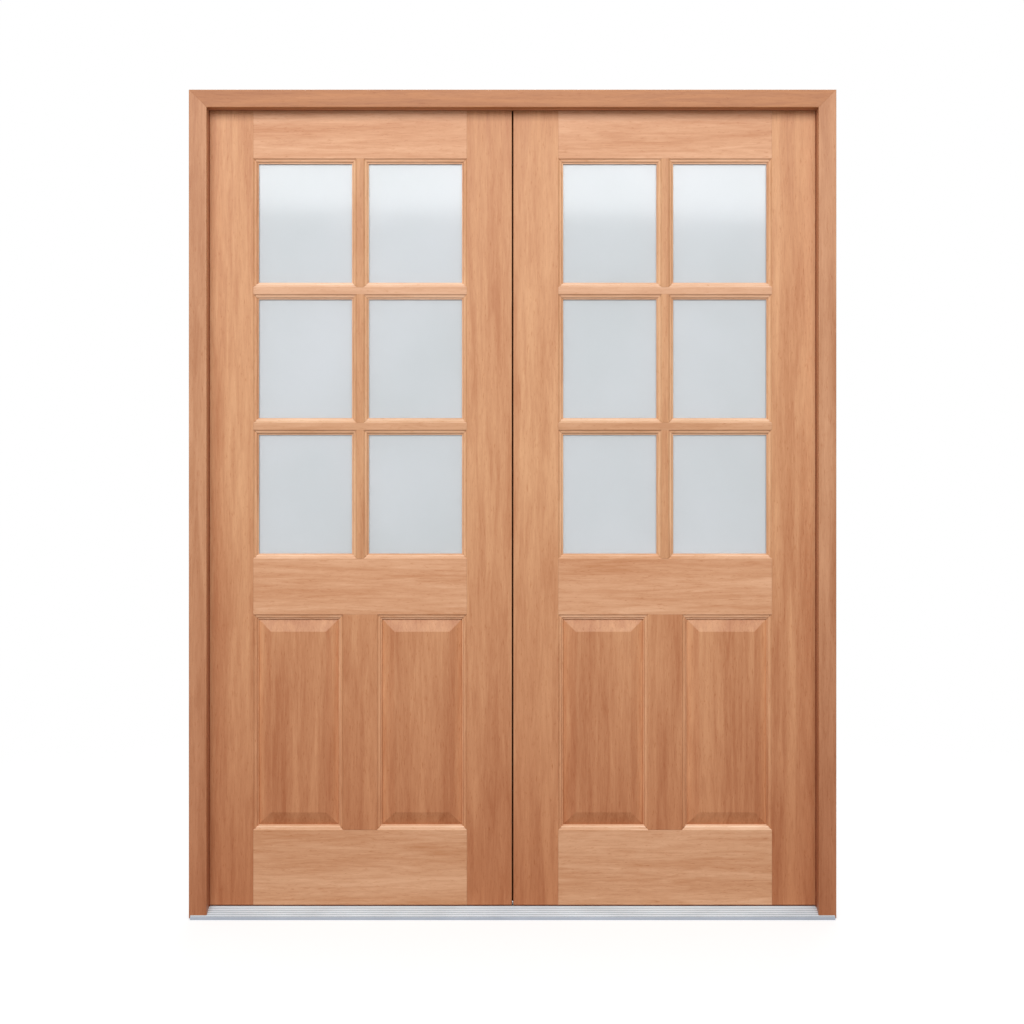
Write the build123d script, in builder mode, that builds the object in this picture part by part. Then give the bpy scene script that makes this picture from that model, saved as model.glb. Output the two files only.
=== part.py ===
# A pair of inward-opening french doors in their own frame.
# X runs across the opening, +Y runs into the building and +Z is up. The origin is on the floor,
# midway between the jambs, in line with the outside edge of the frame.
# The left leaf is drawn and the right leaf is its mirror image.

from build123d import *
from math import radians, sin
import os

os.makedirs("parts", exist_ok=True)

# Leaf
leaf_width = 762.0
leaf_height = 1977.0
leaf_thickness = 44.5
hinge_stile_face = 120.5
meeting_stile_face = 112.5
top_rail_face = 129.0
mid_rail_face = 138.0
mid_rail_height = 857.0
bottom_rail_face = 185.0
bar_face = 17.0
mullion_face = 83.5
light_rows = 3
light_columns = 2
edge_bevel = 1.4
arris = 0.8

# Moulded sticking: splay, bead, fillet
sticking_width = 12.2
sticking_depth = 13.0
splay_width = 3.2
splay_depth = 3.4
bead_flat = 0.6
bead_radius = 5.6

# Panels, panes and beads
edge_room = 2.4
panel_bevel = 31.0
field_setback = 3.0
bead_joint = 0.2

# Loose tenons
tenon_length = 80.0
tenon_thickness = 12.0
tenon_margin = 30.0

# Gaps round the leaves
side_gap = 3.0
head_gap = 3.0
meeting_gap = 1.3
foot_gap = 3.6

# Frame
stop_depth = 14.0
strip_space = 4.0
rabbet_depth = 14.5
jamb_thickness = 30.0
head_housing = 6.0
casing_width = 43.5
casing_thickness = 18.0
casing_arris = 1.5
casing_foot = 10.6
casing_lip = 3.8
casing_lip_foot = 3.0

# Sill
sill_nose = 24.0
nose_height = 7.5
deck_height = 24.0
deck_wall = 2.5
deck_return = 3.5
flute_radius = 1.2
flute_pitch = 8.2
flute_count = 5
first_flute = 7.6
riser_height = 10.0
sill_fit = 0.2

# Seals
seal_clearance = 0.3
kerf_width = 1.6
kerf_depth = 7.0
strip_width = 11.5
strip_kerf_inset = 6.0
side_strip_show = 2.0
head_strip_show = 0.5
sweep_width = 8.0
sweep_setback = 4.0
sweep_base = 1.0
fin_width = 1.5
meeting_seal_width = 3.0
meeting_seal_setback = 1.5
meeting_seal_depth = 1.5
meeting_seal_gap = 0.4

# Hinges
hinge_height = 101.6
hinge_reach = 32.0
plate_thickness = 2.5
knuckle_count = 3
knuckle_radius = 6.35
knuckle_gap = 0.3
pin_radius = 3.1
pin_clearance = 0.05
pin_head_radius = 5.0
pin_head_height = 3.0
axis_overhang = 7.0
top_hinge_inset = 178.0
bottom_hinge_inset = 254.0
screw_hole_radius = 2.4
screw_heights = (-36.0, 0.0, 36.0)
screw_setbacks = (10.0, 22.0, 10.0)

# Slide bolts, in the left leaf
bolt_radius = 5.2
bolt_length = 130.0
bolt_recess = 1.0
bolt_setback = 16.0
bolt_travel = 15.0
bolt_clearance = 0.3
bolt_plate_width = 18.0
bolt_plate_height = 70.0
bolt_plate_thickness = 2.0
bolt_plate_setback = 1.7
tab_height = 10.0
tab_width = 6.0
keeper_length = 40.0
keeper_width = 20.0
keeper_thickness = 2.0

# Places that follow from the sizes, on the left half
leaf_front = stop_depth + strip_space
leaf_back = leaf_front + leaf_thickness
leaf_middle = leaf_front + leaf_thickness / 2
leaf_foot = deck_height + foot_gap
leaf_top = leaf_foot + leaf_height
meeting_edge = -meeting_gap / 2
hinge_edge = meeting_edge - leaf_width
outer_web = hinge_edge + hinge_stile_face
inner_web = meeting_edge - meeting_stile_face
web_span = inner_web - outer_web
web_middle = (outer_web + inner_web) / 2
top_rail_low = leaf_top - top_rail_face
mid_rail_high = leaf_foot + mid_rail_height
mid_rail_low = mid_rail_high - mid_rail_face
bottom_rail_high = leaf_foot + bottom_rail_face
light_width = (web_span - (light_columns - 1) * bar_face) / light_columns
light_height = (top_rail_low - mid_rail_high - (light_rows - 1) * bar_face) / light_rows

rabbet_x = hinge_edge - side_gap
stop_x = rabbet_x + rabbet_depth
jamb_back_x = stop_x - jamb_thickness
soffit = leaf_top + head_gap
stop_z = soffit - rabbet_depth
head_top = stop_z + jamb_thickness

axis_x = hinge_edge - side_gap / 2
axis_y = leaf_back + axis_overhang
top_hinge = leaf_top - top_hinge_inset - hinge_height / 2
bottom_hinge = leaf_foot + bottom_hinge_inset + hinge_height / 2
hinge_heights = (bottom_hinge, (bottom_hinge + top_hinge) / 2, top_hinge)


def block(x, y, z, mode=Mode.ADD):
    """A box that fills the given spans."""
    with Locations(((x[0] + x[1]) / 2, (y[0] + y[1]) / 2, (z[0] + z[1]) / 2)):
        Box(x[1] - x[0], y[1] - y[0], z[1] - z[0], mode=mode)


def upright(x, z):
    """Section plane of an upright piece: across the opening, then inwards from the leaf's outside face."""
    return Plane(origin=(x, leaf_front, z), x_dir=(1, 0, 0), z_dir=(0, 0, 1))


def level(x, z):
    """Section plane of a level piece: upwards, then inwards. The piece is drawn towards -X."""
    return Plane(origin=(x, leaf_front, z), x_dir=(0, 0, 1), z_dir=(-1, 0, 0))


def facing(x, y, z):
    """A plane seen from outside: across, then up. A piece is drawn towards the outside."""
    return Plane(origin=(x, y, z), x_dir=(1, 0, 0), z_dir=(0, -1, 0))


def save(piece, name, mirrored=False):
    """Write one sub-part, or its mirror image on the right half."""
    with BuildPart() as placed:
        if mirrored:
            mirror(piece.part, about=Plane.YZ)
        else:
            add(piece.part)
    placed.part.label = name
    export_step(placed.part, f"parts/{name}.step")


def ridge(edge, outward, outside=True):
    """Moulded sticking beside a face that ends at edge, outside or inside the leaf."""

    def point(across, deep):
        return (edge + outward * across, deep if outside else leaf_thickness - deep)

    bend = bead_radius * sin(radians(45))
    bead_start = splay_width + bead_flat
    fillet_depth = splay_depth + bead_radius
    crown = point(bead_start, splay_depth)
    shoulder = point(bead_start + bend, fillet_depth - bend)
    foot = point(bead_start + bead_radius, fillet_depth)
    with BuildLine() as outline:
        Polyline(point(0, sticking_depth), point(0, 0), point(splay_width, splay_depth), crown)
        ThreePointArc(crown, shoulder, foot)
        Polyline(
            foot,
            point(sticking_width, fillet_depth),
            point(sticking_width, sticking_depth),
            point(0, sticking_depth),
        )
    make_face(outline.edges())


def core(face):
    """The full-thickness middle of a stile, rail or bar, from 0 to face."""
    with Locations((face / 2, leaf_thickness / 2)):
        Rectangle(face, leaf_thickness)


def panel_edge(edge, outward):
    """Ridges on both faces, with the panel groove between them."""
    ridge(edge, outward, outside=True)
    ridge(edge, outward, outside=False)


def tenon_slots(webs, spans, mode=Mode.SUBTRACT):
    """Room for the loose tenons, or the tenons themselves: half in the stile, half in the rail."""
    for web in webs:
        for low, high in spans:
            block(
                (web - tenon_length / 2, web + tenon_length / 2),
                (leaf_middle - tenon_thickness / 2, leaf_middle + tenon_thickness / 2),
                (low + tenon_margin, high - tenon_margin),
                mode,
            )


tenon_spans = (
    (leaf_foot, bottom_rail_high),
    (mid_rail_low, mid_rail_high),
    (top_rail_low, leaf_top),
)


def sweep_kerf():
    """Kerf along the foot of the leaf that holds the sweep."""
    start = leaf_front + sweep_setback + (sweep_width - kerf_width) / 2
    block(
        (hinge_edge, meeting_edge),
        (start, start + kerf_width),
        (leaf_foot, leaf_foot + kerf_depth),
        Mode.SUBTRACT,
    )


def glazing_rabbet(web, outward):
    """Cut the inside ridge off a stile beside the panes, so that they go in from inside."""
    far = web + outward * sticking_width
    block(
        (min(web, far), max(web, far)),
        (leaf_front + sticking_depth, leaf_back),
        (mid_rail_high, top_rail_low),
        Mode.SUBTRACT,
    )


# Hinges: three knuckles, two on the jamb's plate and one on the leaf's

def hinge_mortise(x_span):
    """Recess that lets the plates in flush."""
    for height in hinge_heights:
        block(
            x_span,
            (leaf_back - hinge_reach, leaf_back),
            (height - hinge_height / 2, height + hinge_height / 2),
            Mode.SUBTRACT,
        )


knuckle_height = hinge_height / knuckle_count
leaf_plate_span = (hinge_edge, hinge_edge + plate_thickness)
jamb_plate_span = (rabbet_x - plate_thickness, rabbet_x)


def make_plates(x_span, own_knuckles):
    """The hinge plates of one side, each with its knuckles rolled round the pin's line."""
    with BuildPart() as plates:
        for height in hinge_heights:
            foot = height - hinge_height / 2
            block(x_span, (leaf_back - hinge_reach, axis_y), (foot, foot + hinge_height))
            for index in range(knuckle_count):
                middle = foot + (index + 0.5) * knuckle_height
                if index in own_knuckles:
                    with Locations((axis_x, axis_y, middle)):
                        Cylinder(knuckle_radius, knuckle_height - knuckle_gap)
                else:
                    reach = (knuckle_height + knuckle_gap) / 2
                    block(
                        x_span,
                        (axis_y - knuckle_radius - knuckle_gap, axis_y),
                        (middle - reach, middle + reach),
                        Mode.SUBTRACT,
                    )
            with Locations((axis_x, axis_y, height)):
                Cylinder(pin_radius + pin_clearance, hinge_height, mode=Mode.SUBTRACT)
            for offset, setback in zip(screw_heights, screw_setbacks):
                with Locations((sum(x_span) / 2, leaf_back - setback, height + offset)):
                    Cylinder(
                        screw_hole_radius,
                        plate_thickness,
                        rotation=(0, 90, 0),
                        mode=Mode.SUBTRACT,
                    )
    return plates


leaf_plates = make_plates(leaf_plate_span, (1,))
jamb_plates = make_plates(jamb_plate_span, (0, 2))

with BuildPart() as hinge_pins:
    for height in hinge_heights:
        with Locations((axis_x, axis_y, height)):
            Cylinder(pin_radius, hinge_height)
        with Locations((axis_x, axis_y, height + hinge_height / 2)):
            Cylinder(
                pin_head_radius,
                pin_head_height,
                align=(Align.CENTER, Align.CENTER, Align.MIN),
            )

# Slide bolts: one shoots up into the head, one down into the sill

bolt_x = meeting_edge - bolt_setback
bolt_plate_front = meeting_edge - bolt_plate_setback + meeting_gap / 2
bolt_ends = {"top": (leaf_top, 1), "bottom": (leaf_foot, -1)}


def tab_height_of(end):
    """Middle of the thumb tab when the bolt is drawn back."""
    face, way = bolt_ends[end]
    return face - way * (bolt_recess + bolt_length - tab_height / 2)


def bolt_span(end, start, finish):
    """Heights between two distances from the end of the leaf that a bolt shoots out of."""
    face, way = bolt_ends[end]
    return tuple(sorted((face - way * start, face - way * finish)))


def plate_span(end):
    """Heights that a bolt's face plate covers, round the tab's travel."""
    middle = tab_height_of(end) + bolt_ends[end][1] * bolt_travel / 2
    return (middle - bolt_plate_height / 2, middle + bolt_plate_height / 2)


def tab_window(end):
    """Heights that the tab needs over its whole travel."""
    way = bolt_ends[end][1]
    rest = tab_height_of(end)
    shot = rest + way * bolt_travel
    reach = tab_height / 2 + bolt_clearance
    return (min(rest, shot) - reach, max(rest, shot) + reach)


def bolt_bores(end):
    """Bore, tab window and plate recess of one bolt in the meeting stile."""
    low, high = bolt_span(end, 0, bolt_recess + bolt_length + bolt_clearance)
    with Locations((bolt_x, leaf_middle, (low + high) / 2)):
        Cylinder(bolt_radius + bolt_clearance, high - low, mode=Mode.SUBTRACT)
    block(
        (bolt_x, 0),
        (leaf_middle - tab_width / 2 - bolt_clearance, leaf_middle + tab_width / 2 + bolt_clearance),
        tab_window(end),
        Mode.SUBTRACT,
    )
    block(
        (bolt_plate_front - bolt_plate_thickness, 0),
        (leaf_middle - bolt_plate_width / 2, leaf_middle + bolt_plate_width / 2),
        plate_span(end),
        Mode.SUBTRACT,
    )


def make_bolt(end):
    """A round bolt with a thumb tab that reaches out to the face plate."""
    low, high = bolt_span(end, bolt_recess, bolt_recess + bolt_length)
    tab = tab_height_of(end)
    with BuildPart() as bolt:
        with Locations((bolt_x, leaf_middle, (low + high) / 2)):
            Cylinder(bolt_radius, high - low)
        block(
            (bolt_x, bolt_plate_front),
            (leaf_middle - tab_width / 2, leaf_middle + tab_width / 2),
            (tab - tab_height / 2, tab + tab_height / 2),
        )
    return bolt


def make_bolt_plate(end):
    """Face plate with a window for the thumb tab."""
    with BuildPart() as plate:
        block(
            (bolt_plate_front - bolt_plate_thickness, bolt_plate_front),
            (leaf_middle - bolt_plate_width / 2, leaf_middle + bolt_plate_width / 2),
            plate_span(end),
        )
        reach = tab_width / 2 + bolt_clearance
        block(
            (bolt_plate_front - bolt_plate_thickness, bolt_plate_front),
            (leaf_middle - reach, leaf_middle + reach),
            tab_window(end),
            Mode.SUBTRACT,
        )
    return plate


# Stiles

with BuildPart() as hinge_stile:
    with BuildSketch(upright(hinge_edge, leaf_foot)):
        core(hinge_stile_face)
        panel_edge(hinge_stile_face, 1)
    extrude(amount=leaf_height)
    glazing_rabbet(outer_web, 1)
    tenon_slots((outer_web,), tenon_spans)
    hinge_mortise(leaf_plate_span)
    sweep_kerf()

with BuildPart() as meeting_stile:
    with BuildSketch(upright(meeting_edge, leaf_foot)):
        with BuildLine():
            Polyline(
                (-meeting_stile_face, 0),
                (-edge_bevel - arris, 0),
                (-edge_bevel, arris),
                (0, leaf_thickness),
                (-meeting_stile_face, leaf_thickness),
                (-meeting_stile_face, 0),
            )
        make_face()
        panel_edge(-meeting_stile_face, -1)
    extrude(amount=leaf_height)
    glazing_rabbet(inner_web, -1)
    tenon_slots((inner_web,), tenon_spans)
    sweep_kerf()
    seal_start = leaf_back - meeting_seal_setback - meeting_seal_width
    seal_middle = seal_start + meeting_seal_width / 2
    seal_base = meeting_edge - meeting_seal_depth
    block(
        (seal_base, 0),
        (seal_start, seal_start + meeting_seal_width),
        (leaf_foot, leaf_top),
        Mode.SUBTRACT,
    )
    block(
        (seal_base - kerf_depth, 0),
        (seal_middle - kerf_width / 2, seal_middle + kerf_width / 2),
        (leaf_foot, leaf_top),
        Mode.SUBTRACT,
    )

with BuildPart() as bored_meeting_stile:
    add(meeting_stile.part)
    for end in bolt_ends:
        bolt_bores(end)

# Rails, coped over the stiles' ridges

with BuildPart() as top_rail:
    with BuildSketch(level(inner_web, top_rail_low)):
        core(top_rail_face)
        ridge(0, -1)
    extrude(amount=web_span)
    add(hinge_stile.part, mode=Mode.SUBTRACT)
    add(meeting_stile.part, mode=Mode.SUBTRACT)
    tenon_slots((outer_web, inner_web), tenon_spans)

with BuildPart() as mid_rail:
    with BuildSketch(level(inner_web, mid_rail_low)):
        core(mid_rail_face)
        ridge(mid_rail_face, 1)
        panel_edge(0, -1)
    extrude(amount=web_span)
    add(hinge_stile.part, mode=Mode.SUBTRACT)
    add(meeting_stile.part, mode=Mode.SUBTRACT)
    tenon_slots((outer_web, inner_web), tenon_spans)

with BuildPart() as bottom_rail:
    with BuildSketch(level(inner_web, leaf_foot)):
        core(bottom_rail_face)
        panel_edge(bottom_rail_face, 1)
    extrude(amount=web_span)
    add(hinge_stile.part, mode=Mode.SUBTRACT)
    add(meeting_stile.part, mode=Mode.SUBTRACT)
    tenon_slots((outer_web, inner_web), tenon_spans)
    sweep_kerf()

with BuildPart() as rail_tenons:
    tenon_slots((outer_web, inner_web), tenon_spans, Mode.ADD)

# Mullion between the panels

with BuildPart() as mullion:
    with BuildSketch(upright(web_middle - mullion_face / 2, bottom_rail_high)):
        core(mullion_face)
        panel_edge(0, -1)
        panel_edge(mullion_face, 1)
    extrude(amount=mid_rail_low - bottom_rail_high)
    add(mid_rail.part, mode=Mode.SUBTRACT)
    add(bottom_rail.part, mode=Mode.SUBTRACT)

# Glazing bars: the level ones run through, the upright ones are coped between them

def row_foot(row):
    """Underside of a row of panes, counted from the bottom."""
    return mid_rail_high + row * (light_height + bar_face)


def column_start(column):
    """Left side of a column of panes."""
    return outer_web + column * (light_width + bar_face)


def make_level_bar(row):
    """The glazing bar on top of a row of panes."""
    with BuildPart() as bar:
        with BuildSketch(level(inner_web, row_foot(row) + light_height)):
            core(bar_face)
            ridge(0, -1)
            ridge(bar_face, 1)
        extrude(amount=web_span)
        add(hinge_stile.part, mode=Mode.SUBTRACT)
        add(meeting_stile.part, mode=Mode.SUBTRACT)
    return bar


lower_glazing_bar = make_level_bar(0)
upper_glazing_bar = make_level_bar(1)

with BuildPart() as short_glazing_bars:
    for row in range(light_rows):
        with BuildSketch(upright(column_start(1) - bar_face, row_foot(row))):
            core(bar_face)
            ridge(0, -1)
            ridge(bar_face, 1)
        extrude(amount=light_height)
    for neighbour in (mid_rail, lower_glazing_bar, upper_glazing_bar, top_rail):
        add(neighbour.part, mode=Mode.SUBTRACT)

# Panes, let into the rabbets and held by mitred beads from inside

pane_places = [
    (column_start(column), row_foot(row))
    for column in range(light_columns)
    for row in range(light_rows)
]

with BuildPart() as glass_panes:
    for x, z in pane_places:
        block(
            (x + edge_room, x + light_width - edge_room),
            (leaf_front + sticking_depth, leaf_back - sticking_depth),
            (z + edge_room, z + light_height - edge_room),
        )

with BuildPart() as glazing_beads:
    for x, z in pane_places:
        for edge, outward in ((0, 1), (light_height, -1)):
            with BuildSketch(level(x + light_width, z)):
                ridge(edge, outward, outside=False)
            extrude(amount=light_width)
        for edge, outward in ((0, 1), (light_width, -1)):
            with BuildSketch(upright(x, z)):
                ridge(edge, outward, outside=False)
            extrude(amount=light_height)
        corners = (
            (x, z, -45),
            (x + light_width, z, 45),
            (x, z + light_height, 45),
            (x + light_width, z + light_height, -45),
        )
        for corner_x, corner_z, turn in corners:
            with Locations(Location((corner_x, leaf_middle, corner_z), (0, turn, 0))):
                Box(4 * sticking_width, leaf_thickness, bead_joint, mode=Mode.SUBTRACT)

# Raised panels, loose in their grooves, bevelled on both faces

def raised_outline(plane, low, high, run):
    """Section of a raised panel between two edges, drawn out along the other way."""
    tongue = sticking_depth
    field = field_setback
    start = low + sticking_width
    finish = high - sticking_width
    front = (
        (low + edge_room, tongue),
        (start, tongue),
        (start + panel_bevel, field),
        (finish - panel_bevel, field),
        (finish, tongue),
        (high - edge_room, tongue),
    )
    back = tuple((across, leaf_thickness - deep) for across, deep in reversed(front))
    with BuildSketch(plane) as section:
        with BuildLine():
            Polyline(*front, *back, front[0])
        make_face()
    extrude(section.sketch, amount=run, mode=Mode.INTERSECT)


def make_panel(left, right):
    """A raised panel between two upright webs, mitred where its bevels meet."""
    with BuildPart() as panel:
        block((left, right), (leaf_front, leaf_back), (bottom_rail_high, mid_rail_low))
        raised_outline(upright(0, bottom_rail_high), left, right, mid_rail_low - bottom_rail_high)
        raised_outline(level(right, 0), bottom_rail_high, mid_rail_low, right - left)
    return panel


outer_panel = make_panel(outer_web, web_middle - mullion_face / 2)
inner_panel = make_panel(web_middle + mullion_face / 2, inner_web)

# Seals of the leaf

with BuildPart() as bottom_sweep:
    sweep_start = leaf_front + sweep_setback
    sweep_end = sweep_start + sweep_width
    sweep_middle = (sweep_start + sweep_end) / 2
    sweep_x = (hinge_edge + side_gap, meeting_edge - edge_bevel)
    fin_foot = deck_height + seal_clearance
    block(sweep_x, (sweep_start, sweep_end), (leaf_foot - sweep_base, leaf_foot))
    block(sweep_x, (sweep_start, sweep_start + fin_width), (fin_foot, leaf_foot))
    block(sweep_x, (sweep_end - fin_width, sweep_end), (fin_foot, leaf_foot))
    block(
        sweep_x,
        (sweep_middle - kerf_width / 2, sweep_middle + kerf_width / 2),
        (leaf_foot, leaf_foot + kerf_depth),
    )

with BuildPart() as meeting_seal:
    block(
        (seal_base, -meeting_seal_gap / 2),
        (seal_start, seal_start + meeting_seal_width),
        (leaf_foot, leaf_top),
    )
    block(
        (seal_base - kerf_depth, seal_base),
        (seal_middle - kerf_width / 2, seal_middle + kerf_width / 2),
        (leaf_foot, leaf_top),
    )

# Jambs and head

def rabbeted_profile(stop_face, outward):
    """Section of a jamb or the head: stop to the outside, rabbet for the leaf inside."""
    back = stop_face + outward * jamb_thickness
    rabbet = stop_face + outward * rabbet_depth
    with BuildLine() as outline:
        Polyline(
            (stop_face, 0),
            (stop_face, stop_depth),
            (rabbet, stop_depth),
            (rabbet, leaf_back),
            (back, leaf_back),
            (back, 0),
            (stop_face, 0),
        )
    make_face(outline.edges())


def kerf_span(stop_face, outward):
    """Where the strip's barb goes into the stop, measured across the opening or upwards."""
    middle = stop_face + outward * strip_kerf_inset
    return (middle - kerf_width / 2, middle + kerf_width / 2)


def keeper_bore(z_span):
    """Round hole that a bolt shoots into."""
    with Locations((bolt_x, leaf_middle, (z_span[0] + z_span[1]) / 2)):
        Cylinder(bolt_radius + 2 * bolt_clearance, z_span[1] - z_span[0], mode=Mode.SUBTRACT)


def keeper_recess(z_span, mode=Mode.SUBTRACT):
    """Room for a keeper plate, or the plate itself."""
    block(
        (bolt_x - keeper_length / 2, bolt_x + keeper_length / 2),
        (leaf_middle - keeper_width / 2, leaf_middle + keeper_width / 2),
        z_span,
        mode,
    )


with BuildPart() as head_blank:
    with BuildSketch(Plane(origin=(0, 0, 0), x_dir=(0, 0, 1), z_dir=(-1, 0, 0))):
        rabbeted_profile(stop_z, 1)
    extrude(amount=-rabbet_x + head_housing, both=True)

with BuildPart() as head_jamb:
    add(head_blank.part)
    block(
        (rabbet_x, -rabbet_x),
        (stop_depth - kerf_depth, stop_depth),
        kerf_span(stop_z, 1),
        Mode.SUBTRACT,
    )
    keeper_recess((soffit, soffit + keeper_thickness))
    keeper_bore((soffit, soffit + bolt_travel))

with BuildPart() as left_jamb:
    with BuildSketch(Plane.XY):
        rabbeted_profile(stop_x, -1)
    extrude(amount=head_top)
    block(
        kerf_span(stop_x, -1),
        (stop_depth - kerf_depth, stop_depth),
        (deck_height, stop_z),
        Mode.SUBTRACT,
    )
    add(head_blank.part, mode=Mode.SUBTRACT)
    hinge_mortise(jamb_plate_span)

with BuildPart() as right_jamb:
    mirror(left_jamb.part, about=Plane.YZ)

# Casings, mitred at the top corners

casing_x = stop_x - casing_width
casing_top = stop_z + casing_width


def casing_profile(inner, outer):
    """Flat board with eased front arrises."""
    with Locations(((inner + outer) / 2, -casing_thickness / 2)):
        board = Rectangle(abs(outer - inner), casing_thickness)
    fillet(board.vertices().group_by(Axis.Y)[0], casing_arris)


with BuildPart() as head_casing:
    with BuildSketch(Plane(origin=(-casing_x, 0, 0), x_dir=(0, 0, 1), z_dir=(-1, 0, 0))):
        casing_profile(stop_z, casing_top)
    extrude(amount=-2 * casing_x)
    with BuildSketch(facing(0, 0, 0)):
        with BuildLine():
            Polyline(
                (stop_x, stop_z),
                (casing_x, casing_top),
                (-casing_x, casing_top),
                (-stop_x, stop_z),
                (stop_x, stop_z),
            )
        make_face()
    extrude(amount=casing_thickness, mode=Mode.INTERSECT)

with BuildPart() as left_casing:
    with BuildSketch(Plane.XY.offset(casing_lip_foot)):
        casing_profile(stop_x, casing_x)
    extrude(amount=casing_top - casing_lip_foot)
    add(head_casing.part, mode=Mode.SUBTRACT)
    with BuildSketch(facing(0, 0, 0)):
        with BuildLine():
            Polyline(
                (stop_x, stop_z),
                (casing_x, casing_top),
                (stop_x, casing_top),
                (stop_x, stop_z),
            )
        make_face()
    extrude(amount=casing_thickness, mode=Mode.SUBTRACT)
    block(
        (casing_x + casing_lip, stop_x),
        (-casing_thickness, 0),
        (casing_lip_foot, casing_foot),
        Mode.SUBTRACT,
    )

with BuildPart() as right_casing:
    mirror(left_casing.part, about=Plane.YZ)

# Sill: fluted deck over a timber core, with a riser under the leaves

sill_section = Plane(origin=(0, 0, 0), x_dir=(0, 1, 0), z_dir=(1, 0, 0))
deck_slope = (deck_height - nose_height) / (leaf_front + sill_nose)
deck_back = leaf_front + deck_return
riser_foot = deck_height - riser_height


def deck_top(y):
    """Height of the sloping deck at a distance from the wall line."""
    return nose_height + (y + sill_nose) * deck_slope


def deck_profile():
    """Bent skin: nose, fluted slope, short level return under the leaf."""
    with BuildLine() as outline:
        Polyline(
            (-sill_nose, 0),
            (-sill_nose, nose_height),
            (leaf_front, deck_height),
            (deck_back, deck_height),
            (deck_back, deck_height - deck_wall),
            (leaf_front, deck_height - deck_wall),
            (-sill_nose + deck_wall, nose_height - deck_wall + deck_wall * deck_slope),
            (-sill_nose + deck_wall, 0),
            (-sill_nose, 0),
        )
    make_face(outline.edges())
    for index in range(flute_count):
        y = leaf_front - first_flute - index * flute_pitch
        with Locations((y, deck_top(y))):
            Circle(flute_radius, mode=Mode.SUBTRACT)


with BuildPart() as sill_deck:
    with BuildSketch(sill_section):
        deck_profile()
    extrude(amount=-rabbet_x, both=True)
    for neighbour in (left_jamb, right_jamb, left_casing, right_casing):
        add(neighbour.part, mode=Mode.SUBTRACT)
    with BuildSketch(sill_section):
        deck_profile()
        with Locations((-sill_nose, 0)):
            Rectangle(
                sill_nose - sill_fit,
                casing_foot - sill_fit,
                align=(Align.MIN, Align.MIN),
                mode=Mode.INTERSECT,
            )
    extrude(amount=-casing_x - casing_lip - sill_fit, both=True)

with BuildPart() as sill_core:
    with BuildSketch(sill_section):
        with BuildLine():
            Polyline(
                (-sill_nose + deck_wall, 0),
                (-sill_nose + deck_wall, nose_height - deck_wall + deck_wall * deck_slope),
                (leaf_front, deck_height - deck_wall),
                (deck_back, deck_height - deck_wall),
                (deck_back, riser_foot),
                (leaf_back, riser_foot),
                (leaf_back, 0),
                (-sill_nose + deck_wall, 0),
            )
        make_face()
    extrude(amount=-rabbet_x, both=True)
    for neighbour in (left_jamb, right_jamb, left_casing, right_casing):
        add(neighbour.part, mode=Mode.SUBTRACT)
    keeper_bore((deck_height - bolt_travel, riser_foot))

with BuildPart() as sill_riser:
    block((rabbet_x, -rabbet_x), (deck_back, leaf_back), (riser_foot, deck_height))
    fillet(sill_riser.edges().filter_by(Axis.X).group_by(Axis.Z)[-1].sort_by(Axis.Y)[-1], 3)
    keeper_recess((deck_height - keeper_thickness, deck_height))
    keeper_bore((riser_foot, deck_height))


# Keepers

def make_keeper(z_span):
    """A small plate with the bolt's hole in it."""
    with BuildPart() as keeper:
        keeper_recess(z_span, Mode.ADD)
        keeper_bore(z_span)
    return keeper


head_keeper = make_keeper((soffit, soffit + keeper_thickness))
sill_keeper = make_keeper((deck_height - keeper_thickness, deck_height))

# Weatherstrips in the stops' kerfs

def strip_profile(stop_face, outward, show):
    """Bulb behind the stop with its barb in the kerf."""
    start = stop_face - outward * show
    finish = start + outward * strip_width
    bulb_depth = strip_space - seal_clearance
    with Locations(((start + finish) / 2, stop_depth + bulb_depth / 2)):
        bulb = Rectangle(strip_width, bulb_depth)
    fillet(bulb.vertices(), bulb_depth / 3)
    with Locations((stop_face + outward * strip_kerf_inset, stop_depth - kerf_depth / 2)):
        Rectangle(kerf_width, kerf_depth)


head_strip_low = stop_z - head_strip_show

with BuildPart() as head_weatherstrip:
    with BuildSketch(Plane(origin=(0, 0, 0), x_dir=(0, 0, 1), z_dir=(-1, 0, 0))):
        strip_profile(stop_z, 1, head_strip_show)
    extrude(amount=-rabbet_x, both=True)

with BuildPart() as left_weatherstrip:
    with BuildSketch(Plane.XY.offset(deck_height + seal_clearance)):
        strip_profile(stop_x, -1, side_strip_show)
    extrude(amount=head_strip_low - deck_height - seal_clearance)

# Writing

mirrored_pairs = {
    "jamb": left_jamb,
    "casing": left_casing,
    "weatherstrip": left_weatherstrip,
    "jamb_hinge_leaves": jamb_plates,
    "hinge_stile": hinge_stile,
    "top_rail": top_rail,
    "mid_rail": mid_rail,
    "bottom_rail": bottom_rail,
    "rail_tenons": rail_tenons,
    "mullion": mullion,
    "lower_glazing_bar": lower_glazing_bar,
    "upper_glazing_bar": upper_glazing_bar,
    "short_glazing_bars": short_glazing_bars,
    "glass_panes": glass_panes,
    "glazing_beads": glazing_beads,
    "outer_panel": outer_panel,
    "inner_panel": inner_panel,
    "hinge_leaves": leaf_plates,
    "bottom_sweep": bottom_sweep,
    "meeting_seal": meeting_seal,
}
for name, piece in mirrored_pairs.items():
    save(piece, f"left_{name}")
    save(piece, f"right_{name}", mirrored=True)

save(bored_meeting_stile, "left_meeting_stile")
save(meeting_stile, "right_meeting_stile", mirrored=True)

for end in bolt_ends:
    save(make_bolt(end), f"{end}_bolt")
    save(make_bolt_plate(end), f"{end}_bolt_plate")

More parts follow.
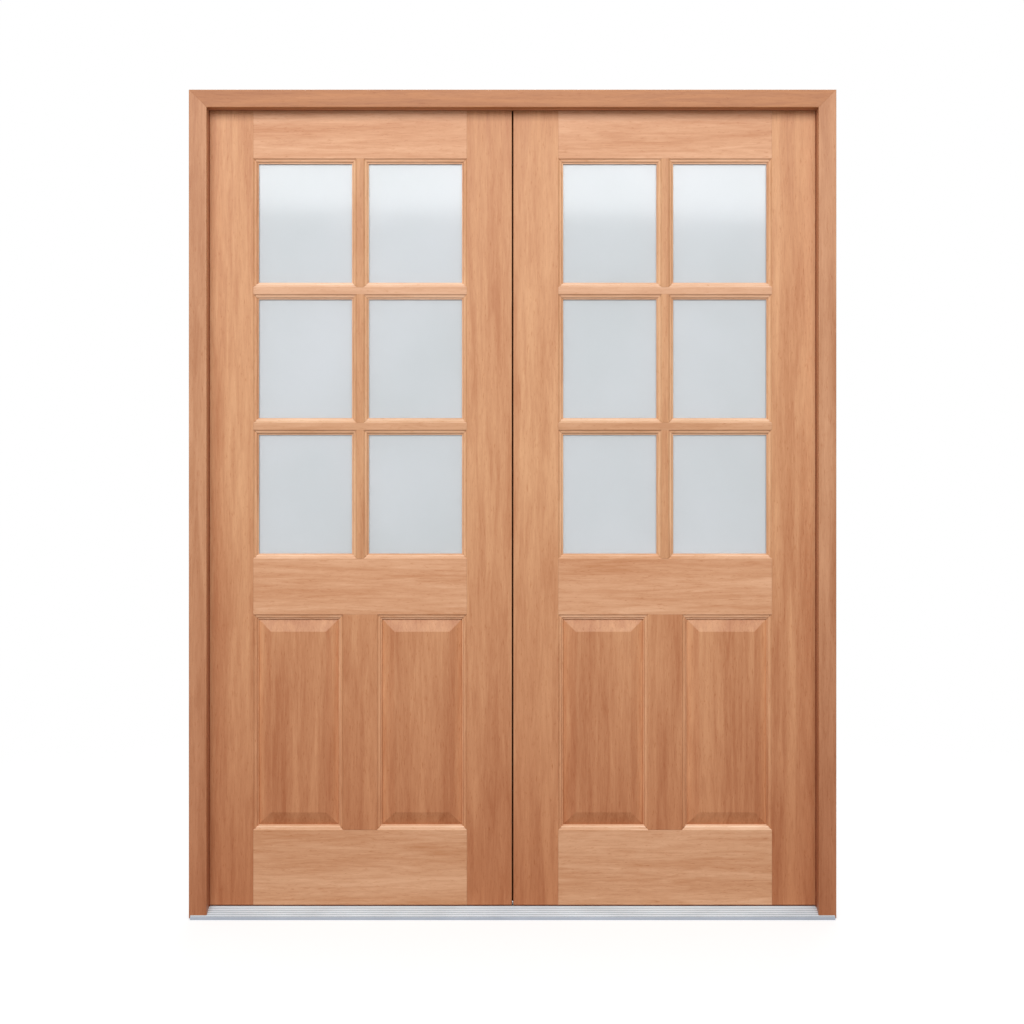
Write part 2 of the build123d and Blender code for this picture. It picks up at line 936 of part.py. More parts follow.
single_pieces = {
    "head_jamb": head_jamb,
    "head_casing": head_casing,
    "head_weatherstrip": head_weatherstrip,
    "sill_deck": sill_deck,
    "sill_core": sill_core,
    "sill_riser": sill_riser,
    "head_keeper": head_keeper,
    "sill_keeper": sill_keeper,
}
for name, piece in single_pieces.items():
    save(piece, name)

with BuildPart() as both_pins:
    add(hinge_pins.part)
    mirror(hinge_pins.part, about=Plane.YZ)
save(both_pins, "hinge_pins")
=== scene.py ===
# Looks, floor, light and camera for a pair of timber french doors in their frame.

import math

import bmesh
import bpy
from mathutils import Matrix, Vector


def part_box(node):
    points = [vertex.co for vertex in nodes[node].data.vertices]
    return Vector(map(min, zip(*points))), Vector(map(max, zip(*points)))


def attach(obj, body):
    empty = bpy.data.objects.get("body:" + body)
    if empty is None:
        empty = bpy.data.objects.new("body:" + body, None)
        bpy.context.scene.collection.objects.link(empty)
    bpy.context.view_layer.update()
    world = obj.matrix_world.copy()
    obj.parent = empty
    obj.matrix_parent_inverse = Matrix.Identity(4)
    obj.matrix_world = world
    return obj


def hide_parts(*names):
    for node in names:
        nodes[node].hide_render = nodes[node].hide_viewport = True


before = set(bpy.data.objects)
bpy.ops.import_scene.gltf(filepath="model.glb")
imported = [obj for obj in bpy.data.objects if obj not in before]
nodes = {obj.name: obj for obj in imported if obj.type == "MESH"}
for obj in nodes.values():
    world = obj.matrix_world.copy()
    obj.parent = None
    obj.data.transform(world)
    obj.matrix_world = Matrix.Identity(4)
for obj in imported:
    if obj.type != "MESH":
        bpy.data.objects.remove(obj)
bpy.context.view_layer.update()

# Each side's name and its direction along X
SIDES = (("left", -1), ("right", 1))

# Axes that grain and brushed lines run along
ACROSS = 0
UPWARD = 2


# Shader helpers


def linear(display):
    """Display colour, 0 to 255, as the linear values that shaders take."""
    values = []
    for channel in display:
        share = channel / 255
        values.append(share / 12.92 if share <= 0.04045 else ((share + 0.055) / 1.055) ** 2.4)
    return (*values, 1.0)


def grey(value):
    """A grey, or a share that is the same for all three colours."""
    return (value, value, value, 1.0)


def new_tree(name):
    """An empty material and its node tree."""
    material = bpy.data.materials.new(name)
    material.use_nodes = True
    material.node_tree.nodes.clear()
    return material, material.node_tree


def set_inputs(tree, pairs):
    """Each socket linked to its value, or set to it."""
    for socket, value in pairs:
        if isinstance(value, bpy.types.NodeSocket):
            tree.links.new(value, socket)
        else:
            socket.default_value = value


def add_node(tree, kind, inputs=(), **settings):
    """A node with its settings and inputs."""
    made = tree.nodes.new(kind)
    for key, value in settings.items():
        setattr(made, key, value)
    set_inputs(tree, ((made.inputs[key], value) for key, value in dict(inputs).items()))
    return made


def math_node(tree, operation, *values, clamp=False):
    """The output of one sum."""
    inputs = dict(enumerate(values))
    return add_node(tree, "ShaderNodeMath", inputs, operation=operation, use_clamp=clamp).outputs[0]


def dot(tree, first, second):
    """The dot product of two vectors."""
    inputs = {0: first, 1: second}
    return add_node(tree, "ShaderNodeVectorMath", inputs, operation="DOT_PRODUCT").outputs["Value"]


def components(tree, vector):
    """The X, Y and Z of a vector."""
    return add_node(tree, "ShaderNodeSeparateXYZ", {0: vector}).outputs


def object_place(tree):
    """Place on the object, in metres."""
    return add_node(tree, "ShaderNodeTexCoord").outputs["Object"]


def ramp(tree, factor, *stops):
    """Colours or greys by place along a factor."""
    made = add_node(tree, "ShaderNodeValToRGB", {"Fac": factor})
    elements = made.color_ramp.elements
    while len(elements) < len(stops):
        elements.new(0.5)
    for element, (position, colour) in zip(elements, stops):
        element.position = position
        element.color = colour
    return made.outputs["Color"]


def rise(tree, factor, span):
    """A share that goes from 0 to 1 over a span of the factor."""
    start, end = span
    return ramp(tree, factor, (start, grey(0.0)), (end, grey(1.0)))


def blend(tree, mode, factor, first, second):
    """Two colours mixed."""
    made = add_node(tree, "ShaderNodeMix", data_type="RGBA", blend_type=mode)
    set_inputs(tree, ((made.inputs[0], factor), (made.inputs[6], first), (made.inputs[7], second)))
    return made.outputs[2]


def surface(tree, inputs):
    """The one shader of a material, joined to its output."""
    shader = add_node(tree, "ShaderNodeBsdfPrincipled", inputs)
    add_node(tree, "ShaderNodeOutputMaterial", {"Surface": shader.outputs[0]})


# Wood colours, each a light and a dark tone of the same piece, as display values

UPRIGHT_TONES = ((218, 163, 119), (186, 123, 81))
RAIL_TONES = ((225, 173, 135), (195, 134, 92))
SHORT_BAR_TONES = ((221, 169, 125), (189, 129, 87))
UPPER_BAR_TONES = ((226, 178, 143), (202, 147, 109))
LOWER_BAR_TONES = ((222, 172, 134), (195, 140, 100))
CASING_TONES = ((207, 152, 113), (177, 118, 79))
HEAD_TONES = ((188, 127, 83), (156, 95, 55))
JAMB_TONES = ((205, 147, 109), (172, 114, 79))
BARE_TONES = ((214, 178, 134), (184, 143, 99))

# Layers of the grain: features to the metre across it and along it, and the noise's detail
BROAD_LAYER = (19, 1.3, 2.0)
STREAK_LAYER = (58, 4.2, 4.0)
FIBRE_LAYER = (300, 26, 3.0)
PORE_LAYER = (380, 58, 2.0)
SEED_STEPS = (3.7, 5.3, 7.9)

# How much the layers wander, by the way the grain runs
BROAD_SWAY = 0.6
SWAY = {ACROSS: 1.8, UPWARD: 0.9}

# How much each layer counts on the way from the dark tone to the light one
LEVEL_START = -1.4
BROAD_WEIGHT = 1.7
STREAK_WEIGHT = 1.3
FIBRE_WEIGHT = 0.8

# Pores: their share of red, green and blue, and where in their noise they start and end
PORE_SHADE = (0.84, 0.72, 0.60, 1.0)
PORE_SPAN = (0.25, 0.41)

# Upright pieces darken and redden towards the floor, down to this share of red, green and blue
FOOT_SHADE = (0.79, 0.61, 0.53, 1.0)
SHADE_TOP = 1.15
SHADE_RUN = 1.1
SHADE_POWER = 1.2

# Edges are worn lighter, over this span of the cosine between the rounded and the flat normal
WEAR_RADIUS = 0.0012
WEAR_SPAN = (0.86, 0.995)
WEAR_SHARE = 0.22

# Painted highlight: upward faces and sideways facets are painted paler by this gain, over these spans
# of their normal
PAINTED_LIGHT_GAIN = (1.15, 1.33, 1.50, 1.0)
UPWARD_SPAN = (0.1, 0.8)
FACET_STOPS = ((0.1, 0.0), (0.35, 0.4), (0.8, 0.4), (0.97, 0.0))

# So are the forward faces of the moulding, at these places behind the leaf's face, as painted light
# that lifts the shade of their recess
MOULDING_PAINTED_LIGHT = (1.20, 1.34, 1.48, 1.0)
MOULDING_DEPTHS = (0.0015, 0.0045)
FORWARD_SPAN = (0.2, 0.4)

# Painted shade and light: upright bevels of the panels go from dark beside the raised field to light at
# the edge, as a cove would be shaded
PANEL_BEVEL = 0.031
COVE_RUN = 0.021
COVE_SHADING_STOPS = (
    (0.0, (0.99, 0.96, 0.95, 1.0)),
    (0.35, (1.08, 1.12, 1.14, 1.0)),
    (0.9, (1.20, 1.26, 1.29, 1.0)),
)
SIDEWAYS_SPAN = (0.1, 0.2)

# Sheen, and the relief of fibre and pores
ROUGHNESS = 0.36
ROUGHNESS_CHANGE = 0.22
FIBRE_RELIEF = 0.6
PORE_RELIEF = 0.5

leaf_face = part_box("left_hinge_stile")[0].y


def grain_noise(tree, place, grain, shift, across, along, detail, sway=0.0):
    """Noise drawn out along the grain. Scales are in features to the metre."""
    scale = [across, across, across]
    scale[grain] = along
    mapped = add_node(tree, "ShaderNodeMapping", {"Vector": place, "Location": shift, "Scale": scale})
    noise = add_node(
        tree,
        "ShaderNodeTexNoise",
        {
            "Vector": mapped.outputs[0],
            "Scale": 1.0,
            "Detail": detail,
            "Roughness": 0.55,
            "Distortion": sway,
        },
    )
    return noise.outputs[0]


def darken_to_foot(tree, place, colour):
    """The colour, darker and redder towards the floor."""
    height = components(tree, place)["Z"]
    depth = math_node(tree, "MULTIPLY_ADD", height, -1 / SHADE_RUN, SHADE_TOP / SHADE_RUN, clamp=True)
    share = math_node(tree, "POWER", depth, SHADE_POWER)
    return blend(tree, "MULTIPLY", share, colour, FOOT_SHADE)


def wear_edges(tree, rounded, colour, light):
    """The colour, with the light tone showing along the edges."""
    flat = add_node(tree, "ShaderNodeNewGeometry").outputs["Normal"]
    start, end = WEAR_SPAN
    wear = ramp(tree, dot(tree, rounded, flat), (start, grey(1.0)), (end, grey(0.0)))
    return blend(tree, "MIX", math_node(tree, "MULTIPLY", wear, WEAR_SHARE), colour, light)


def paint_light_on_moulding(tree, place, backward, colour):
    """The colour, with painted light on the forward faces that lie behind the leaf's face, lifting the
    shade of their recess.
    """
    span = [leaf_face + depth for depth in MOULDING_DEPTHS]
    behind = rise(tree, components(tree, place)["Y"], span)
    forward = rise(tree, math_node(tree, "MULTIPLY", backward, -1), FORWARD_SPAN)
    # Painted light on the recessed forward faces of the moulding
    return blend(tree, "MULTIPLY", math_node(tree, "MULTIPLY", behind, forward), colour, MOULDING_PAINTED_LIGHT)


def paint_cove_shading(tree, place, sideways, colour, middle, half_width):
    """The colour of a panel, with painted shade on its upright bevels beside the raised field and
    painted light towards their edge.
    """
    offset = math_node(tree, "SUBTRACT", components(tree, place)["X"], middle)
    distance = math_node(tree, "ABSOLUTE", offset)
    run = math_node(tree, "MULTIPLY_ADD", distance, 1 / COVE_RUN, -half_width / COVE_RUN, clamp=True)
    # Painted cove shading: dark beside the field, light at the edge
    tone = ramp(tree, run, *COVE_SHADING_STOPS)
    return blend(tree, "MULTIPLY", rise(tree, sideways, SIDEWAYS_SPAN), colour, tone)


def paint_light_on_slopes(tree, place, normal, colour, field):
    """The colour, with painted highlight on the faces that slope."""
    # Painted highlight on upward faces and on sideways facets
    upward = rise(tree, normal["Z"], UPWARD_SPAN)
    sideways = math_node(tree, "ABSOLUTE", normal["X"])
    if field:
        colour = blend(tree, "MULTIPLY", upward, colour, PAINTED_LIGHT_GAIN)
        return paint_cove_shading(tree, place, sideways, colour, *field)
    facet = ramp(tree, sideways, *((at, grey(share)) for at, share in FACET_STOPS))
    painted_light = math_node(tree, "MAXIMUM", upward, facet)
    colour = blend(tree, "MULTIPLY", painted_light, colour, PAINTED_LIGHT_GAIN)
    return paint_light_on_moulding(tree, place, normal["Y"], colour)


def make_wood(name, tones, grain, seed, field=None):
    """Satin-finished straight-grained wood with broad streaks, fine fibre and short pores."""
    material, tree = new_tree(name)
    coordinates = add_node(tree, "ShaderNodeTexCoord").outputs
    place = coordinates["Object"]
    normal = components(tree, coordinates["Normal"])
    light, dark = (linear(tone) for tone in tones)

    shift = [seed * step for step in SEED_STEPS]
    sway = SWAY[grain]
    broad = grain_noise(tree, place, grain, shift, *BROAD_LAYER, BROAD_SWAY)
    streak = grain_noise(tree, place, grain, shift, *STREAK_LAYER, sway)
    fibre = grain_noise(tree, place, grain, shift, *FIBRE_LAYER, sway / 2)
    pore = grain_noise(tree, place, grain, shift, *PORE_LAYER, sway / 2)

    level = math_node(tree, "MULTIPLY_ADD", broad, BROAD_WEIGHT, LEVEL_START)
    level = math_node(tree, "MULTIPLY_ADD", streak, STREAK_WEIGHT, level)
    level = math_node(tree, "MULTIPLY_ADD", fibre, FIBRE_WEIGHT, level, clamp=True)
    colour = ramp(tree, level, (0.0, dark), (1.0, light))
    deep, clear = PORE_SPAN
    fleck = ramp(tree, pore, (deep, PORE_SHADE), (clear, grey(1.0)))
    colour = blend(tree, "MULTIPLY", 1.0, colour, fleck)
    if grain == UPWARD:
        colour = darken_to_foot(tree, place, colour)
    rounded = add_node(tree, "ShaderNodeBevel", {"Radius": WEAR_RADIUS}, samples=4).outputs[0]
    colour = wear_edges(tree, rounded, colour, light)
    # Painted highlight on sloping faces, and painted cove shading on the panels' bevels
    colour = paint_light_on_slopes(tree, place, normal, colour, field)

    pits = math_node(tree, "MULTIPLY", pore, PORE_RELIEF)
    height = math_node(tree, "MULTIPLY_ADD", fibre, FIBRE_RELIEF, pits)
    bump = add_node(
        tree,
        "ShaderNodeBump",
        {"Strength": 0.16, "Distance": 0.0004, "Height": height, "Normal": rounded},
    )
    surface(
        tree,
        {
            "Base Color": colour,
            "Roughness": math_node(tree, "MULTIPLY_ADD", streak, ROUGHNESS_CHANGE, ROUGHNESS),
            "Normal": bump.outputs[0],
            "Specular IOR Level": 0.35,
            "Coat Weight": 0.06,
            "Coat Roughness": 0.35,
        },
    )
    return material


# Glass and rubber, each between two tones in soft patches

GLASS_TONES = ((218, 223, 226), (226, 230, 234))
GLASS_SPAN = (0.3, 0.7)
GLASS_ROUGHNESS = 0.065
GLASS_CHANGE = 0.03
RUBBER_TONES = ((122, 62, 38), (144, 80, 52))
RUBBER_SPAN = (0.35, 0.65)


def patches(tree, scale, detail):
    """Soft noise. The scale is in features to the metre."""
    inputs = {"Vector": object_place(tree), "Scale": scale, "Detail": detail}
    return add_node(tree, "ShaderNodeTexNoise", inputs).outputs[0]


def between(tree, factor, tones, span):
    """A colour between two display tones, over a span of the factor."""
    return ramp(tree, factor, *((at, linear(tone)) for at, tone in zip(span, tones)))


def make_glass():
    """Pale satin glass, faintly uneven."""
    material, tree = new_tree("pane_glass")
    ripple = patches(tree, 3.0, 2.0)
    bump = add_node(tree, "ShaderNodeBump", {"Strength": 0.05, "Distance": 0.001, "Height": ripple})
    surface(
        tree,
        {
            "Base Color": between(tree, ripple, GLASS_TONES, GLASS_SPAN),
            "Roughness": math_node(tree, "MULTIPLY_ADD", ripple, GLASS_CHANGE, GLASS_ROUGHNESS),
            "Transmission Weight": 0.45,
            "IOR": 1.5,
            "Specular IOR Level": 0.42,
            "Normal": bump.outputs[0],
        },
    )
    return material


def make_rubber():
    """Matt brown seal with a faint bloom."""
    material, tree = new_tree("seal_rubber")
    bloom = patches(tree, 60.0, 4.0)
    bump = add_node(tree, "ShaderNodeBump", {"Strength": 0.1, "Distance": 0.0003, "Height": bloom})
    surface(
        tree,
        {
            "Base Color": between(tree, bloom, RUBBER_TONES, RUBBER_SPAN),
            "Roughness": 0.8,
            "Specular IOR Level": 0.15,
            "Normal": bump.outputs[0],
        },
    )
    return material


# Metal: the sill is bright and nearly matt, the hinges and screws are brushed steel

SILL_TONE = (235, 246, 253)
HINGE_TONE = (196, 194, 190)
SCREW_TONE = (205, 203, 198)

# Brushed lines and tarnish: features to the metre across and along, detail, and where they lie
LINE_LAYER = (1500, 9, 2.0)
LINE_SHIFT = (0, 0, 0)
CLOUD_LAYER = (22, 9, 4.0)
CLOUD_SHIFT = (3, 1, 2)
METAL_SPAN = (0.3, 0.62)
TARNISH = 0.78
METAL_CHANGE = 0.2

# The sill's slope and front as normals, with the shares of colour of the painted shade in its flutes
# and of its darker nose
SILL_SLOPE = (0, -0.358, 0.934)
SILL_FRONT = (0, -1, 0)
FLUTE_SHADE = (0.40, 0.42, 0.45, 1.0)
FLUTE_SPAN = (0.88, 0.96)
NOSE_SHADE = (0.66, 0.65, 0.70, 1.0)
NOSE_SPAN = (0.985, 0.995)


def shade_flutes(tree, colour):
    """The colour of the sill, with painted shade in its flutes and a darker nose."""
    facing = add_node(tree, "ShaderNodeNewGeometry").outputs["Normal"]
    deep, clear = FLUTE_SPAN
    # Painted shade on the flute walls, which turn away from the slope
    flute_shade = ramp(tree, dot(tree, facing, SILL_SLOPE), (deep, FLUTE_SHADE), (clear, grey(1.0)))
    nose = rise(tree, dot(tree, facing, SILL_FRONT), NOSE_SPAN)
    tone = blend(tree, "MIX", nose, flute_shade, NOSE_SHADE)
    return blend(tree, "MULTIPLY", 1.0, colour, tone)


def make_metal(name, tone, roughness, brush_axis, metallic=1.0, fluted=False):
    """Metal with fine lines along one axis and a little tarnish."""
    material, tree = new_tree(name)
    place = object_place(tree)
    lines = grain_noise(tree, place, brush_axis, LINE_SHIFT, *LINE_LAYER)
    cloud = grain_noise(tree, place, brush_axis, CLOUD_SHIFT, *CLOUD_LAYER)
    bright = linear(tone)
    dull = (*(value * TARNISH for value in bright[:3]), 1.0)
    mean = math_node(tree, "MULTIPLY_ADD", lines, 0.5, math_node(tree, "MULTIPLY", cloud, 0.5))
    colour = ramp(tree, mean, *zip(METAL_SPAN, (dull, bright)))
    # Painted shade in the flutes of the sill
    if fluted:
        colour = shade_flutes(tree, colour)
    smoothest = roughness - METAL_CHANGE / 2
    bump = add_node(tree, "ShaderNodeBump", {"Strength": 0.08, "Distance": 0.0002, "Height": lines})
    surface(
        tree,
        {
            "Base Color": colour,
            "Metallic": metallic,
            "Roughness": math_node(tree, "MULTIPLY_ADD", cloud, METAL_CHANGE, smoothest),
            "Normal": bump.outputs[0],
        },
    )
    return material


glass = make_glass()
rubber = make_rubber()
sill_metal = make_metal("sill_aluminium", SILL_TONE, 0.45, ACROSS, metallic=0.06, fluted=True)
hinge_metal = make_metal("hinge_steel", HINGE_TONE, 0.32, UPWARD)
screw_metal = make_metal("screw_steel", SCREW_TONE, 0.28, UPWARD)


# Which wood each piece is cut from: pieces of a side, without its name, and then the others

SIDE_WOODS = {
    "hinge_stile": (UPRIGHT_TONES, UPWARD),
    "meeting_stile": (UPRIGHT_TONES, UPWARD),
    "top_rail": (RAIL_TONES, ACROSS),
    "mid_rail": (RAIL_TONES, ACROSS),
    "bottom_rail": (RAIL_TONES, ACROSS),
    "lower_glazing_bar": (LOWER_BAR_TONES, ACROSS),
    "upper_glazing_bar": (UPPER_BAR_TONES, ACROSS),
    "short_glazing_bars": (SHORT_BAR_TONES, UPWARD),
    "glazing_beads": (UPRIGHT_TONES, UPWARD),
    "mullion": (UPRIGHT_TONES, UPWARD),
    "outer_panel": (UPRIGHT_TONES, UPWARD),
    "inner_panel": (UPRIGHT_TONES, UPWARD),
    "rail_tenons": (BARE_TONES, ACROSS),
    "casing": (CASING_TONES, UPWARD),
    "jamb": (JAMB_TONES, UPWARD),
}
OTHER_WOODS = {
    "head_casing": (HEAD_TONES, ACROSS),
    "head_jamb": (JAMB_TONES, ACROSS),
    "sill_core": (BARE_TONES, ACROSS),
    "sill_riser": (BARE_TONES, ACROSS),
}
RUBBER_WORDS = ("weatherstrip", "sweep", "seal")


def wood_of(node_name):
    """Tones and grain of a piece, or None if it isn't wood."""
    if node_name in OTHER_WOODS:
        return OTHER_WOODS[node_name]
    return SIDE_WOODS.get(node_name.partition("_")[2])


def raised_field(node_name):
    """Middle and half width of the raised field of a panel."""
    low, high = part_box(node_name)
    return (low.x + high.x) / 2, (high.x - low.x) / 2 - PANEL_BEVEL


def other_material(node_name):
    """The shared material of a piece that isn't wood."""
    if "glass" in node_name:
        return glass
    if any(word in node_name for word in RUBBER_WORDS):
        return rubber
    return sill_metal if node_name == "sill_deck" else hinge_metal


for seed, node_name in enumerate(sorted(nodes), start=1):
    wood = wood_of(node_name)
    if wood:
        field = raised_field(node_name) if "panel" in node_name else None
        material = make_wood(f"{node_name}_wood", *wood, seed, field)
    else:
        material = other_material(node_name)
    for slot in nodes[node_name].material_slots:
        slot.material = material


def new_piece(name, mesh, material):
    """An object in the scene that takes over a finished mesh."""
    data = bpy.data.meshes.new(name)
    mesh.to_mesh(data)
    mesh.free()
    data.materials.append(material)
    piece = bpy.data.objects.new(name, data)
    bpy.context.scene.collection.objects.link(piece)
    return piece


# Screws, with low domed heads and cross slots

HEAD_RADIUS = 0.0041
HEAD_RISE = 0.0008
SHANK_RADIUS = 0.0022
SHANK_LENGTH = 0.014
SHANK_MARGIN = 0.001
SHANK_SIDES = 12

# Cross slot: half its width and its reach from the middle, at its floor and at its top
SLOT_FLOOR = (0.00045, 0.0024)
SLOT_TOP = (0.000585, 0.002592)
SLOT_DEPTH = 0.00128

# Lines of the grid that makes a head, as distances from its middle
DOME_LINES = (0.0012, 0.0018, 0.0033, HEAD_RADIUS)
GRID_LINES = (*SLOT_FLOOR, *SLOT_TOP, *DOME_LINES)

# Hinge plates, with each one's screws by height from its middle and distance from the leaf's back
PLATE_HEIGHT = 0.1016
PLATE_GAP = 0.003
PLATE_SCREWS = ((-0.036, 0.010), (0.0, 0.022), (0.036, 0.010))

# Screws through a jamb: distances from its back, and how far below its top and above its foot
FRONT_SETBACK = 0.0334
REAR_SETBACK = 0.0111
HEAD_DROP = 0.00775
SILL_RISE = 0.007


def slot_depth(across, up):
    """How far the cross slot is sunk at a place on the head."""
    near, far = sorted((abs(across), abs(up)))
    half, reach = SLOT_FLOOR
    return SLOT_DEPTH if near <= half and far <= reach else 0.0


def add_screw(mesh, foot, direction):
    """One screw whose head stands on a face that looks along X."""
    places = sorted([-line for line in GRID_LINES] + list(GRID_LINES))
    corners = {}
    for column, across in enumerate(places):
        for row, up in enumerate(places):
            radius = max(abs(across), abs(up))
            to_circle = radius / math.hypot(across, up)
            proud = HEAD_RISE * (1 - (radius / HEAD_RADIUS) ** 2) - slot_depth(across, up)
            offset = (direction * proud, across * to_circle, up * to_circle)
            corners[column, row] = mesh.verts.new(foot + Vector(offset))
    last = len(places) - 1
    for column in range(last):
        for row in range(last):
            loop = [corners[column, row], corners[column + 1, row]]
            loop += [corners[column + 1, row + 1], corners[column, row + 1]]
            mesh.faces.new(loop if direction > 0 else loop[::-1])
    turn = Matrix.Rotation(math.radians(90), 4, "Y")
    middle = foot - Vector((direction * SHANK_LENGTH / 2, 0, 0))
    bmesh.ops.create_cone(
        mesh,
        cap_ends=True,
        segments=SHANK_SIDES,
        radius1=SHANK_RADIUS,
        radius2=SHANK_RADIUS,
        depth=SHANK_LENGTH - 2 * SHANK_MARGIN,
        matrix=Matrix.Translation(middle) @ turn,
    )


def add_screws(name, body, feet, direction):
    """A piece made of like screws that goes with one body."""
    mesh = bmesh.new()
    for foot in feet:
        add_screw(mesh, Vector(foot), direction)
    piece = new_piece(name, mesh, screw_metal)
    piece.data.shade_smooth()
    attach(piece, body)


def plate_feet(face, leaf_back, hinge_middles):
    """Screw places on the three plates of one face."""
    return [
        (face, leaf_back - setback, middle + up)
        for middle in hinge_middles
        for up, setback in PLATE_SCREWS
    ]


def frame_feet(face, jamb_back, jamb_top):
    """Screw places on the outer side of a jamb: two at the head and one at the sill."""
    front = jamb_back - FRONT_SETBACK
    rear = jamb_back - REAR_SETBACK
    head = jamb_top - HEAD_DROP
    return [(face, front, head), (face, rear, head), (face, rear, SILL_RISE)]


def add_all_screws():
    """The screws of the hinges and of the frame's corners."""
    leaf_edge, leaf_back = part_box("right_hinge_stile")[1].xy
    lowest, highest = (corner.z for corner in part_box("right_hinge_leaves"))
    bottom, top = lowest + PLATE_HEIGHT / 2, highest - PLATE_HEIGHT / 2
    hinge_middles = (bottom, (bottom + top) / 2, top)
    jamb_side, jamb_back, jamb_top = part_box("right_jamb")[1]
    for side, sign in SIDES:
        leaf_feet = plate_feet(sign * leaf_edge, leaf_back, hinge_middles)
        add_screws(f"{side}_leaf_hinge_screws", f"{side}_leaf", leaf_feet, sign)
        jamb_feet = plate_feet(sign * (leaf_edge + PLATE_GAP), leaf_back, hinge_middles)
        add_screws(f"{side}_jamb_hinge_screws", "frame", jamb_feet, -sign)
        joint_feet = frame_feet(sign * jamb_side, jamb_back, jamb_top)
        add_screws(f"{side}_frame_screws", "frame", joint_feet, sign)


add_all_screws()


# Meeting seals, whose round lips close the gap between the leaves

LIP_SIDES = 10

# Distances of a lip's tip, root and back from the middle of the pair
SEAL_LIP = 0.000001
SEAL_ROOT = 0.0007
SEAL_BACK = 0.00215


def add_meeting_seal(side, sign):
    """A seal on one leaf's meeting edge with a half-round lip."""
    low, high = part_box(f"{side}_meeting_seal")
    middle = (low.y + high.y) / 2
    half_width = (high.y - low.y) / 2
    outline = [(SEAL_BACK, high.y), (SEAL_BACK, low.y)]
    for step in range(LIP_SIDES + 1):
        angle = math.pi * step / LIP_SIDES
        reach = SEAL_ROOT - (SEAL_ROOT - SEAL_LIP) * math.sin(angle)
        outline.append((reach, middle - math.cos(angle) * half_width))
    mesh = bmesh.new()
    foot, top = ([mesh.verts.new((sign * x, y, z)) for x, y in outline] for z in (low.z, high.z))
    for index in range(len(outline)):
        mesh.faces.new((foot[index - 1], foot[index], top[index], top[index - 1]))
    mesh.faces.new(foot)
    mesh.faces.new(top)
    bmesh.ops.recalc_face_normals(mesh, faces=mesh.faces)
    piece = new_piece(f"{side}_meeting_lip", mesh, rubber)
    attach(piece, f"{side}_leaf")
    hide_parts(f"{side}_meeting_seal")


for side, sign in SIDES:
    add_meeting_seal(side, sign)


# Floor: white to the camera, with the doors' shadow, fading out before the horizon

FLOOR_RADIUS = 4.0
FLOOR_SIDES = 96
FADE_START = 1.2
FADE_END = 3.6
FLOOR_TONE = 0.4
FLOOR_GLOW = 0.68


def make_floor_material():
    """A pale floor that glows to the camera alone and is clear far out."""
    material, tree = new_tree("floor")
    camera_ray = add_node(tree, "ShaderNodeLightPath").outputs["Is Camera Ray"]
    diffuse = add_node(tree, "ShaderNodeBsdfDiffuse", {"Color": grey(FLOOR_TONE)}).outputs[0]
    glow = add_node(tree, "ShaderNodeEmission", {"Color": grey(1.0), "Strength": FLOOR_GLOW}).outputs[0]
    lit = add_node(tree, "ShaderNodeAddShader", {0: diffuse, 1: glow}).outputs[0]
    seen = add_node(tree, "ShaderNodeMixShader", {0: camera_ray, 1: diffuse, 2: lit}).outputs[0]
    distance = add_node(tree, "ShaderNodeVectorMath", {0: object_place(tree)}, operation="LENGTH")
    fade = add_node(
        tree,
        "ShaderNodeMapRange",
        {"Value": distance.outputs["Value"], "From Min": FADE_START, "From Max": FADE_END},
        interpolation_type="SMOOTHSTEP",
    ).outputs[0]
    clear = add_node(tree, "ShaderNodeBsdfTransparent").outputs[0]
    mixed = add_node(tree, "ShaderNodeMixShader", {0: fade, 1: seen, 2: clear}).outputs[0]
    add_node(tree, "ShaderNodeOutputMaterial", {"Surface": mixed})
    return material


bpy.ops.mesh.primitive_circle_add(vertices=FLOOR_SIDES, radius=FLOOR_RADIUS, fill_type="NGON")
floor = bpy.context.object
floor.name = "floor"
floor.data.materials.append(make_floor_material())


# Light: a broad soft source ahead and above, a weaker one behind, the rest from all round

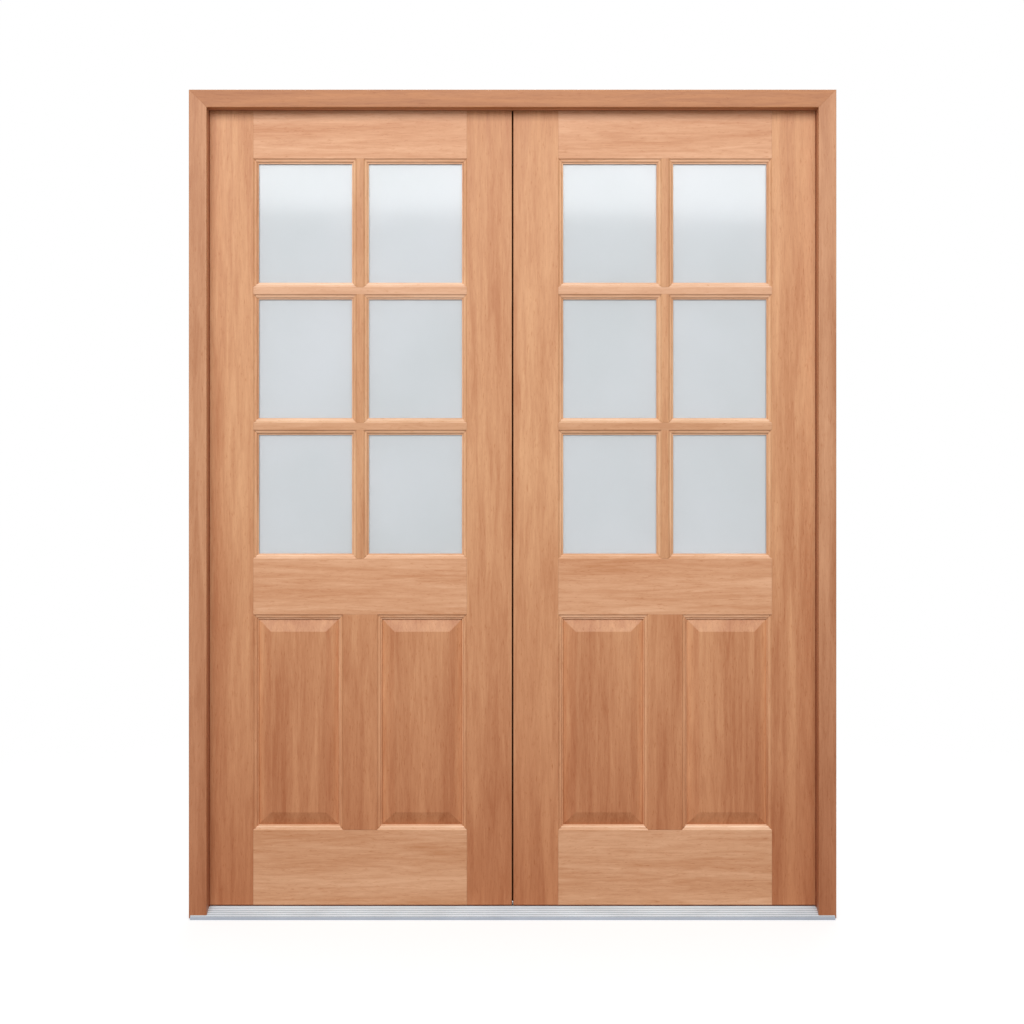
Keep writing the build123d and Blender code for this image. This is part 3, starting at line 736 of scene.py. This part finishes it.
AMBIENT_STRENGTH = 0.44
WHITE_STRENGTH = 1.0
LIGHT_TARGET = (0, 0, 1.0)


def make_world():
    """Even light from all round, white to the camera and in reflections."""
    world = bpy.data.worlds.new("studio")
    bpy.context.scene.world = world
    world.use_nodes = True
    tree = world.node_tree
    tree.nodes.clear()
    rays = add_node(tree, "ShaderNodeLightPath").outputs
    bent = math_node(tree, "MAXIMUM", rays["Is Glossy Ray"], rays["Is Transmission Ray"])
    seen = math_node(tree, "MAXIMUM", rays["Is Camera Ray"], bent)
    ambient, white = (
        add_node(tree, "ShaderNodeBackground", {"Color": grey(1.0), "Strength": strength}).outputs[0]
        for strength in (AMBIENT_STRENGTH, WHITE_STRENGTH)
    )
    mixed = add_node(tree, "ShaderNodeMixShader", {0: seen, 1: ambient, 2: white}).outputs[0]
    add_node(tree, "ShaderNodeOutputWorld", {"Surface": mixed})


def add_area_light(name, place, width, height, power):
    """A rectangular lamp that faces the middle of the doors."""
    light = bpy.data.lights.new(name, "AREA")
    light.shape = "RECTANGLE"
    light.size = width
    light.size_y = height
    light.energy = power
    lamp = bpy.data.objects.new(name, light)
    bpy.context.scene.collection.objects.link(lamp)
    lamp.location = place
    lamp.rotation_euler = (Vector(LIGHT_TARGET) - Vector(place)).to_track_quat("-Z", "Y").to_euler()


make_world()
add_area_light("key", (-0.4, -4.7, 3.95), width=6.4, height=2.8, power=262)
add_area_light("fill", (0.5, 4.2, 4.8), width=4.5, height=2.0, power=130)


# Camera: level, about half way up, straight in front

CAMERA_PLACE = (-0.0015, -3.982, 1.0)
CAMERA_LENS = 56.8
SENSOR_WIDTH = 36.0

camera = bpy.data.objects.new("camera", bpy.data.cameras.new("camera"))
bpy.context.scene.collection.objects.link(camera)
camera.location = CAMERA_PLACE
camera.rotation_euler = (math.radians(90), 0, 0)
camera.data.lens = CAMERA_LENS
camera.data.sensor_width = SENSOR_WIDTH
bpy.context.scene.camera = camera
bpy.context.scene.view_settings.view_transform = "Standard"
